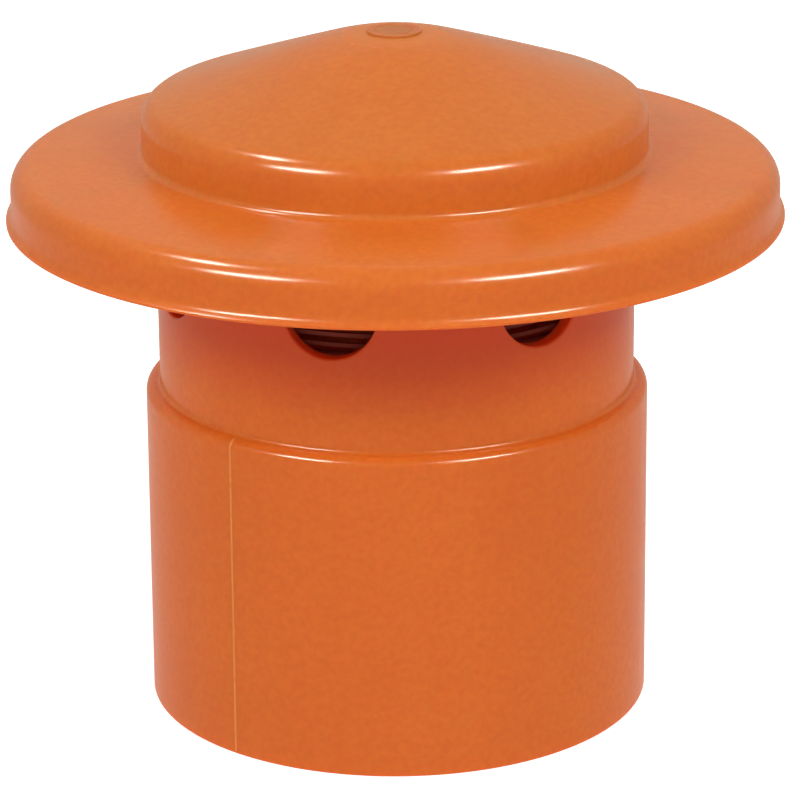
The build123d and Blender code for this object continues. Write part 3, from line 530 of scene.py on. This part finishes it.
# ---- Socket body ----
def inlet_sector(bm, middle):
    """The neck's wall around one inlet: outside, rounded edge, the hole's wall, and inside."""
    half = pi / INLET_COUNT
    upright = SECTOR_STEPS // 2

    def frame_points(low, high):
        """Anticlockwise round the sector's border, as (angle from the middle, height)."""
        across = [-half + 2 * half * i / SECTOR_STEPS for i in range(SECTOR_STEPS)]
        up = [low + (high - low) * i / upright for i in range(upright)]
        bottom_and_right = [(angle, low) for angle in across] + [(half, height) for height in up]
        top_and_left = [(-angle, high) for angle in across] + [(-half, low + high - height) for height in up]
        return bottom_and_right + top_and_left

    def rim(reach, radius, turn):
        """A point that far from the hole's axis, on the cylinder of that radius, as (angle, height)."""
        return asin(reach * cos(turn) / radius), INLET_Z + reach * sin(turn)

    def rows(border, reach, radius, shares):
        """Rings of points on a cylinder between the hole's rim and the sector's border."""
        result = []
        for share in shares:
            row = []
            for (angle, height), turn in zip(border, turns):
                rim_angle, rim_height = rim(reach, radius, turn)
                angle_here = rim_angle + (angle - rim_angle) * share
                row.append(around(middle + angle_here, radius, rim_height + (height - rim_height) * share))
            result.append(row)
        return result

    outside, inside = frame_points(*INLET_BAND), frame_points(*INLET_BAND_INSIDE)
    turns = [atan2(height - INLET_Z, NECK_R * angle) for angle, height in outside]
    grid(bm, rows(outside, INLET_R + INLET_EDGE, NECK_R, OUTSIDE_SHARES))
    bore = []  # (distance from the hole's axis, distance from the neck's axis), from outside to inside
    for i in range(INLET_EDGE_STEPS + 1):
        slope = pi / 2 * i / INLET_EDGE_STEPS
        bore.append((INLET_R + INLET_EDGE * (1 - sin(slope)), NECK_R - INLET_EDGE * (1 - cos(slope))))
    for radius in (NECK_R - INLET_EDGE - INLET_GUARD, NECK_BORE_R + INLET_GUARD, NECK_BORE_R):
        bore.append((INLET_R, radius))
    tube = []
    for reach, radius in bore:
        places = [rim(reach, radius, turn) for turn in turns]
        tube.append([around(middle + angle, radius, height) for angle, height in places])
    grid(bm, tube)
    grid(bm, rows(inside, INLET_R, NECK_BORE_R, INSIDE_SHARES))


def build_socket():
    bm = bmesh.new()
    angles = turn_angles(INLET_COUNT * SECTOR_STEPS, INLET_FIRST - pi / INLET_COUNT)
    lower = [
        (NECK_R, INLET_BAND[0]),
        (NECK_R, SHOULDER_Z, NECK_FOOT_FILLET),
        (SOCKET_TOP_R, SHOULDER_Z, SHOULDER_FILLET),
        (SOCKET_R, body_low.z, MOUTH_EDGE),
        (SOCKET_BORE_R + MOUTH_CHAMFER, body_low.z),
        (SOCKET_BORE_R, body_low.z + MOUTH_CHAMFER),
        (SOCKET_BORE_R, SOCKET_DEPTH, STOP_FILLET),
        (NECK_BORE_R, SOCKET_DEPTH, STOP_EDGE),
        (NECK_BORE_R, FLOOR_LOW_Z, FLOOR_FILLET),
        (RISER_COLLAR_R, FLOOR_LOW_Z, FLOOR_FILLET),
        (RISER_COLLAR_R, RISER_COLLAR_LOW_Z, RISER_COLLAR_EDGE),
        (RISER_COLLAR_BORE_R, RISER_COLLAR_LOW_Z, RISER_COLLAR_EDGE),
        (RISER_COLLAR_BORE_R, RISER_COLLAR_TOP_Z, RISER_COLLAR_EDGE),
        (RISER_COLLAR_R, RISER_COLLAR_TOP_Z, RISER_COLLAR_EDGE),
        (RISER_COLLAR_R, FLOOR_TOP_Z, RISER_COLLAR_EDGE),
        (NECK_BORE_R, FLOOR_TOP_Z),
        (NECK_BORE_R, INLET_BAND_INSIDE[0]),
    ]
    upper = [
        (NECK_R, INLET_BAND[1]),
        (NECK_R, GROOVE_Z - GROOVE_HALF, GROOVE_EDGE),
        (GROOVE_R, GROOVE_Z - GROOVE_HALF, GROOVE_EDGE),
        (GROOVE_R, GROOVE_Z + GROOVE_HALF, GROOVE_EDGE),
        (NECK_R, GROOVE_Z + GROOVE_HALF, GROOVE_EDGE),
        (NECK_R, NECK_TOP_Z - NECK_TOP_CHAMFER),
        (NECK_R - NECK_TOP_CHAMFER, NECK_TOP_Z),
        (NECK_BORE_R, NECK_TOP_Z, NECK_TOP_EDGE),
        (NECK_BORE_R, INLET_BAND_INSIDE[1]),
    ]
    lathe(bm, rounded(lower, steps=8, guard=0.04), angles)
    lathe(bm, rounded(upper, steps=3, guard=0.08), angles)
    for middle in turn_angles(INLET_COUNT, INLET_FIRST):
        inlet_sector(bm, middle)
    # the body's plastic carries painted shade: its neck is tinted redder under the brim
    plastic = orange_pvc("orange_pvc_body", painted_neck_shade=True)
    piece("socket_moulding", bm, "vent_body", plastic, ["socket_body"])


def parting_ridge(bm, angle):
    """The low rounded ridge that the mould's parting leaves up the socket and over its shoulder."""
    path = [(SOCKET_R, PARTING_LOW_Z, 0.0)]  # radius, height, and the outward direction's slope
    for i in range(SHOULDER_STEPS + 1):
        slope = pi / 2 * i / SHOULDER_STEPS
        path.append(
            (
                SOCKET_TOP_R - SHOULDER_FILLET * (1 - cos(slope)),
                SHOULDER_Z - SHOULDER_FILLET * (1 - sin(slope)),
                slope,
            )
        )

    def row(lift, aside):
        """Along the path, that far out from the wall and to the side."""
        shift = Vector((cos(angle), sin(angle), 0)) * aside * MM
        return [around(angle, r + lift * cos(slope), z + lift * sin(slope)) + shift for r, z, slope in path]

    rows = []
    for i in range(PARTING_STEPS + 1):
        turn = pi * i / PARTING_STEPS
        rows.append(row(PARTING_HIGH * sin(turn) - PARTING_SUNK, PARTING_HALF * cos(turn)))
    rows.append(row(-PARTING_ROOT, 0))
    rings = [list(ring) for ring in zip(*rows)]
    grid(bm, rings)
    for ring in (rings[0], rings[-1]):
        bm.faces.new([bm.verts.new(point) for point in ring])


def build_parting_line():
    bm = bmesh.new()
    for angle in turn_angles(2, PARTING):
        parting_ridge(bm, angle)
    # painted highlight: the ridge is paler than the orange, partly as its flash and partly for the light line
    # it catches
    flash_and_sheen_paint = moulded("orange_pvc_flash_and_sheen", scaled(ORANGE, *FLASH_AND_SHEEN_SHADE), FLASH_ROUGHNESS)
    piece("parting_line", bm, "vent_body", flash_and_sheen_paint, crease_deg=60)


# ---- Floor, light and camera ----
def build_stage():
    bm = bmesh.new()
    bmesh.ops.create_grid(bm, x_segments=1, y_segments=1, size=FLOOR_HALF)
    mesh = bpy.data.meshes.new("floor")
    bm.to_mesh(mesh)
    bm.free()
    floor = bpy.data.objects.new("floor", mesh)
    bpy.context.scene.collection.objects.link(floor)
    paint = Paint(
        "floor_paint", FLOOR_COLOUR, FLOOR_ROUGHNESS,
        Emission_Color=FLOOR_GLOW, Emission_Strength=FLOOR_GLOW_STRENGTH,
    )
    paint.colour(paint.ramp(paint.noise(2, 4), MIDDLE, FLOOR_DARK, FLOOR_PALE))
    mesh.materials.append(paint.material)
    floor.visible_diffuse = False  # a lit white floor would light the neck that the brim keeps in shade
    floor.visible_glossy = False


def soft_light(name, azimuth_deg, elevation_deg, width, height, power, glossy):
    """A softbox at an angle from the front towards +X: it makes either highlights or plain light."""
    light = bpy.data.lights.new(name, "AREA")
    light.shape = "RECTANGLE"
    light.size, light.size_y = width, height
    light.energy = power
    if glossy:
        light.color = WARM
    obj = bpy.data.objects.new(name, light)
    azimuth, elevation = radians(azimuth_deg), radians(elevation_deg)
    away = Vector((sin(azimuth) * cos(elevation), -cos(azimuth) * cos(elevation), sin(elevation)))
    obj.location = Vector(LAMP_AIM) + away * LAMP_DISTANCE
    obj.rotation_euler = away.to_track_quat("Z", "Y").to_euler()
    obj.visible_glossy = glossy
    obj.visible_diffuse = not glossy
    bpy.context.scene.collection.objects.link(obj)


def build_room():
    """The glow all round. The floor stops none of it, so its lower part stands in for light off the floor."""
    world = bpy.data.worlds.new("studio")
    world.use_nodes = True
    nodes, links = world.node_tree.nodes, world.node_tree.links
    direction = nodes.new("ShaderNodeSeparateXYZ")
    links.new(nodes.new("ShaderNodeTexCoord").outputs["Generated"], direction.inputs[0])
    upwards = nodes.new("ShaderNodeMapRange")
    upwards.inputs["From Min"].default_value, upwards.inputs["From Max"].default_value = ROOM_FADE
    links.new(direction.outputs["Z"], upwards.inputs["Value"])
    glow = nodes.new("ShaderNodeValToRGB")
    glow.color_ramp.elements[0].color = ROOM_BELOW
    glow.color_ramp.elements[1].color = ROOM_ABOVE
    links.new(upwards.outputs["Result"], glow.inputs["Fac"])
    links.new(glow.outputs["Color"], nodes["Background"].inputs["Color"])
    bpy.context.scene.world = world
    bpy.context.scene.view_settings.view_transform = "Standard"


def build_camera():
    camera = bpy.data.cameras.new("camera")
    camera.lens = CAMERA_LENS
    camera.sensor_width = CAMERA_SENSOR
    camera.clip_end = CAMERA_REACH
    obj = bpy.data.objects.new("camera", camera)
    away = Vector((0, -cos(CAMERA_ELEVATION), sin(CAMERA_ELEVATION)))
    obj.location = Vector(CAMERA_AIM) + away * CAMERA_DISTANCE
    look = away.to_track_quat("Z", "Y").to_matrix() @ Matrix.Rotation(CAMERA_ROLL, 3, "Z")
    obj.rotation_euler = look.to_euler()
    bpy.context.scene.collection.objects.link(obj)
    bpy.context.scene.camera = obj


build_cap()
build_socket()
build_parting_line()
build_stage()
for lamp in LAMPS:
    soft_light(*lamp)
build_room()
build_camera()
